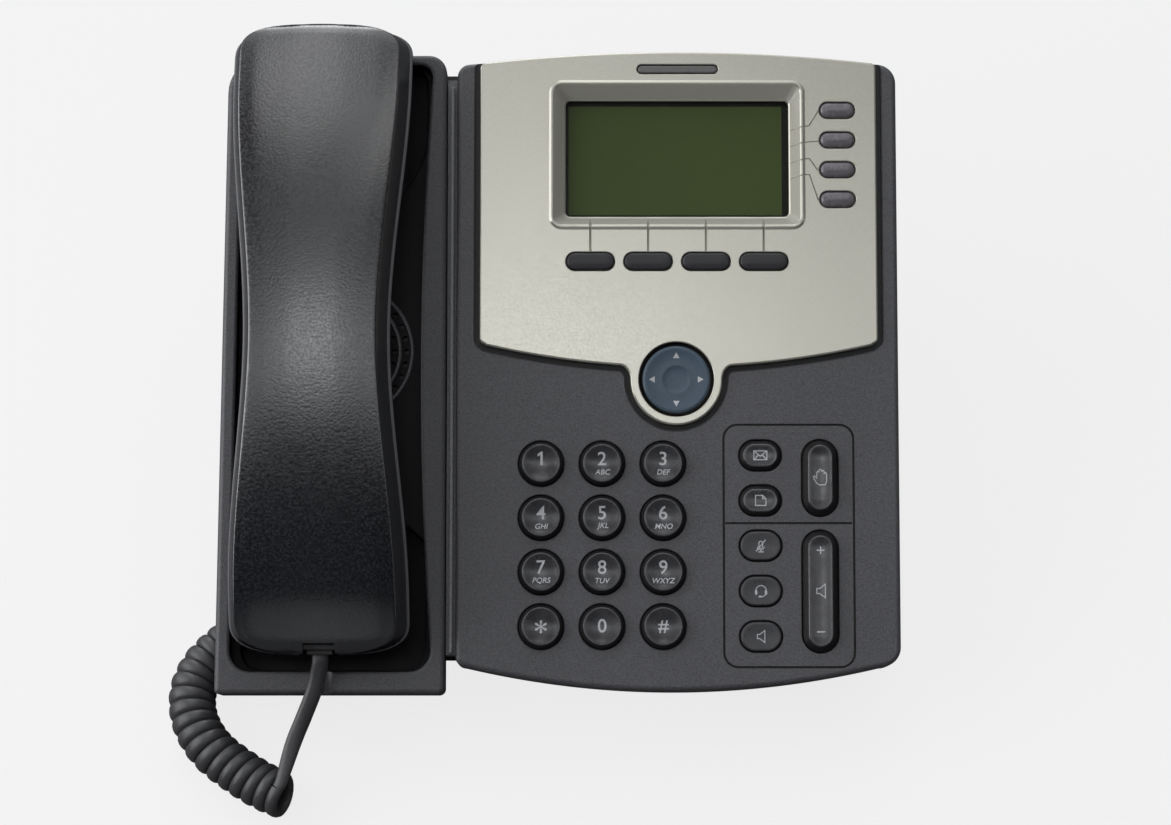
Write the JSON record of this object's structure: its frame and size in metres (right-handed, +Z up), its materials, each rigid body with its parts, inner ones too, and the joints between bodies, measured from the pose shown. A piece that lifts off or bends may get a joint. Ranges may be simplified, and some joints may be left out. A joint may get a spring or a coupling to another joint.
{
  "type": "desk telephone",
  "caption": "Desk network telephone: sloping console with display, dial and function keys and navigation pad, side cradle with a lift-off handset, curly cord and clip-on stand.",
  "frame": {"origin": "middle of the footprint on the desk, without the cord", "axes": "+X to the user's right, +Y away from the user, +Z up"},
  "size_m": [0.2282, 0.221, 0.1277],
  "materials": {
    "charcoal": "fine textured moulded plastic",
    "silver": "satin silver paint on plastic",
    "key": "glossy dark grey",
    "softkey": "semi-gloss black",
    "line_key": "smoky translucent grey",
    "nav": "slate blue satin",
    "window": "clear",
    "lcd": "dark olive display",
    "board": "green circuit board",
    "rubber": "matt black",
    "metal": "dull plated steel",
    "socket": "black socket plastic",
    "plug": "clear plug",
    "cord": "matt black vinyl"
  },
  "bodies": {
    "base": {"base_jack": "socket", "base_plug": "plug", "cord_coil": "cord", "cord_lead": "cord", "cord_tail": "cord", "cradle_housing": "charcoal", "desk_stand": "charcoal", "display_window": "window", "faceplate": "silver", "front_foot_left": "rubber", "front_foot_right": "rubber", "front_housing": "charcoal", "headset_jack": "socket", "hook_switch": "socket", "key_membrane": "rubber", "lcd_module": "lcd", "loudspeaker": "metal", "main_board": "board", "message_lamp": "line_key", "network_jacks": "metal", "power_jack": "socket", "rear_cover": "charcoal", "stand_foot_left": "rubber", "stand_foot_right": "rubber"},
    "key_0": {"key_0": "key"},
    "key_1": {"key_1": "key"},
    "key_2": {"key_2": "key"},
    "key_3": {"key_3": "key"},
    "key_4": {"key_4": "key"},
    "key_5": {"key_5": "key"},
    "key_6": {"key_6": "key"},
    "key_7": {"key_7": "key"},
    "key_8": {"key_8": "key"},
    "key_9": {"key_9": "key"},
    "key_hash": {"key_hash": "key"},
    "key_headset": {"key_headset": "key"},
    "key_hold": {"key_hold": "key"},
    "key_message": {"key_message": "key"},
    "key_mute": {"key_mute": "key"},
    "key_setup": {"key_setup": "key"},
    "key_speaker": {"key_speaker": "key"},
    "key_star": {"key_star": "key"},
    "line_key_1": {"line_key_1": "line_key"},
    "line_key_2": {"line_key_2": "line_key"},
    "line_key_3": {"line_key_3": "line_key"},
    "line_key_4": {"line_key_4": "line_key"},
    "softkey_1": {"softkey_1": "softkey"},
    "softkey_2": {"softkey_2": "softkey"},
    "softkey_3": {"softkey_3": "softkey"},
    "softkey_4": {"softkey_4": "softkey"},
    "volume_rocker": {"volume_rocker": "key"},
    "nav_pivot": {"nav_pivot": "socket"},
    "nav_pad": {"nav_pad": "nav"},
    "handset": {"handset_back": "charcoal", "handset_front": "charcoal", "handset_jack": "socket", "handset_microphone": "metal", "handset_plug": "plug", "handset_receiver": "metal"},
    "hook_plunger": {"hook_plunger": "socket"}
  },
  "joints": [
    {"name": "key_0_press", "type": "slide", "parent": "base", "child": "key_0", "axis": [0, 0.4226, -0.9063], "range_m": [0, 0.0012], "stiffness_N_per_m": 600, "springref_m": -0.0005},
    {"name": "key_1_press", "type": "slide", "parent": "base", "child": "key_1", "axis": [0, 0.4226, -0.9063], "range_m": [0, 0.0012], "stiffness_N_per_m": 600, "springref_m": -0.0005},
    {"name": "key_2_press", "type": "slide", "parent": "base", "child": "key_2", "axis": [0, 0.4226, -0.9063], "range_m": [0, 0.0012], "stiffness_N_per_m": 600, "springref_m": -0.0005},
    {"name": "key_3_press", "type": "slide", "parent": "base", "child": "key_3", "axis": [0, 0.4226, -0.9063], "range_m": [0, 0.0012], "stiffness_N_per_m": 600, "springref_m": -0.0005},
    {"name": "key_4_press", "type": "slide", "parent": "base", "child": "key_4", "axis": [0, 0.4226, -0.9063], "range_m": [0, 0.0012], "stiffness_N_per_m": 600, "springref_m": -0.0005},
    {"name": "key_5_press", "type": "slide", "parent": "base", "child": "key_5", "axis": [0, 0.4226, -0.9063], "range_m": [0, 0.0012], "stiffness_N_per_m": 600, "springref_m": -0.0005},
    {"name": "key_6_press", "type": "slide", "parent": "base", "child": "key_6", "axis": [0, 0.4226, -0.9063], "range_m": [0, 0.0012], "stiffness_N_per_m": 600, "springref_m": -0.0005},
    {"name": "key_7_press", "type": "slide", "parent": "base", "child": "key_7", "axis": [0, 0.4226, -0.9063], "range_m": [0, 0.0012], "stiffness_N_per_m": 600, "springref_m": -0.0005},
    {"name": "key_8_press", "type": "slide", "parent": "base", "child": "key_8", "axis": [0, 0.4226, -0.9063], "range_m": [0, 0.0012], "stiffness_N_per_m": 600, "springref_m": -0.0005},
    {"name": "key_9_press", "type": "slide", "parent": "base", "child": "key_9", "axis": [0, 0.4226, -0.9063], "range_m": [0, 0.0012], "stiffness_N_per_m": 600, "springref_m": -0.0005},
    {"name": "key_hash_press", "type": "slide", "parent": "base", "child": "key_hash", "axis": [0, 0.4226, -0.9063], "range_m": [0, 0.0012], "stiffness_N_per_m": 600, "springref_m": -0.0005},
    {"name": "key_headset_press", "type": "slide", "parent": "base", "child": "key_headset", "axis": [0, 0.4226, -0.9063], "range_m": [0, 0.0012], "stiffness_N_per_m": 600, "springref_m": -0.0005},
    {"name": "key_hold_press", "type": "slide", "parent": "base", "child": "key_hold", "axis": [0, 0.4226, -0.9063], "range_m": [0, 0.0012], "stiffness_N_per_m": 600, "springref_m": -0.0005},
    {"name": "key_message_press", "type": "slide", "parent": "base", "child": "key_message", "axis": [0, 0.4226, -0.9063], "range_m": [0, 0.0012], "stiffness_N_per_m": 600, "springref_m": -0.0005},
    {"name": "key_mute_press", "type": "slide", "parent": "base", "child": "key_mute", "axis": [0, 0.4226, -0.9063], "range_m": [0, 0.0012], "stiffness_N_per_m": 600, "springref_m": -0.0005},
    {"name": "key_setup_press", "type": "slide", "parent": "base", "child": "key_setup", "axis": [0, 0.4226, -0.9063], "range_m": [0, 0.0012], "stiffness_N_per_m": 600, "springref_m": -0.0005},
    {"name": "key_speaker_press", "type": "slide", "parent": "base", "child": "key_speaker", "axis": [0, 0.4226, -0.9063], "range_m": [0, 0.0012], "stiffness_N_per_m": 600, "springref_m": -0.0005},
    {"name": "key_star_press", "type": "slide", "parent": "base", "child": "key_star", "axis": [0, 0.4226, -0.9063], "range_m": [0, 0.0012], "stiffness_N_per_m": 600, "springref_m": -0.0005},
    {"name": "line_key_1_press", "type": "slide", "parent": "base", "child": "line_key_1", "axis": [0, 0.4226, -0.9063], "range_m": [0, 0.0008], "stiffness_N_per_m": 600, "springref_m": -0.0005},
    {"name": "line_key_2_press", "type": "slide", "parent": "base", "child": "line_key_2", "axis": [0, 0.4226, -0.9063], "range_m": [0, 0.0008], "stiffness_N_per_m": 600, "springref_m": -0.0005},
    {"name": "line_key_3_press", "type": "slide", "parent": "base", "child": "line_key_3", "axis": [0, 0.4226, -0.9063], "range_m": [0, 0.0008], "stiffness_N_per_m": 600, "springref_m": -0.0005},
    {"name": "line_key_4_press", "type": "slide", "parent": "base", "child": "line_key_4", "axis": [0, 0.4226, -0.9063], "range_m": [0, 0.0008], "stiffness_N_per_m": 600, "springref_m": -0.0005},
    {"name": "softkey_1_press", "type": "slide", "parent": "base", "child": "softkey_1", "axis": [0, 0.4226, -0.9063], "range_m": [0, 0.0008], "stiffness_N_per_m": 600, "springref_m": -0.0005},
    {"name": "softkey_2_press", "type": "slide", "parent": "base", "child": "softkey_2", "axis": [0, 0.4226, -0.9063], "range_m": [0, 0.0008], "stiffness_N_per_m": 600, "springref_m": -0.0005},
    {"name": "softkey_3_press", "type": "slide", "parent": "base", "child": "softkey_3", "axis": [0, 0.4226, -0.9063], "range_m": [0, 0.0008], "stiffness_N_per_m": 600, "springref_m": -0.0005},
    {"name": "softkey_4_press", "type": "slide", "parent": "base", "child": "softkey_4", "axis": [0, 0.4226, -0.9063], "range_m": [0, 0.0008], "stiffness_N_per_m": 600, "springref_m": -0.0005},
    {"name": "volume_rock", "type": "hinge", "parent": "base", "child": "volume_rocker", "pos_m": [0.08119, -0.06412, 0.03598], "axis": [1, 0, 0], "range_deg": [-2.5, 2.5], "stiffness_Nm_per_rad": 0.2},
    {"name": "nav_tilt_up_down", "type": "hinge", "parent": "base", "child": "nav_pivot", "pos_m": [0.03679, -0.0049, 0.06491], "axis": [1, 0, 0], "range_deg": [-3.5, 3.5], "stiffness_Nm_per_rad": 0.1},
    {"name": "nav_tilt_left_right", "type": "hinge", "parent": "nav_pivot", "child": "nav_pad", "pos_m": [0.03679, -0.0049, 0.06491], "axis": [0, 0.9063, 0.4226], "range_deg": [-3.5, 3.5], "stiffness_Nm_per_rad": 0.1},
    {"name": "handset_lift", "type": "slide", "parent": "base", "child": "handset", "axis": [0, -0.4226, 0.9063], "range_m": [0, 0.06]},
    {"name": "hook_rise", "type": "slide", "parent": "base", "child": "hook_plunger", "axis": [0, -0.4226, 0.9063], "range_m": [0, 0.004]}
  ],
  "couplings": [
    {"joint": "hook_rise", "follows": "handset_lift", "ratio": 0.066667}
  ]
}
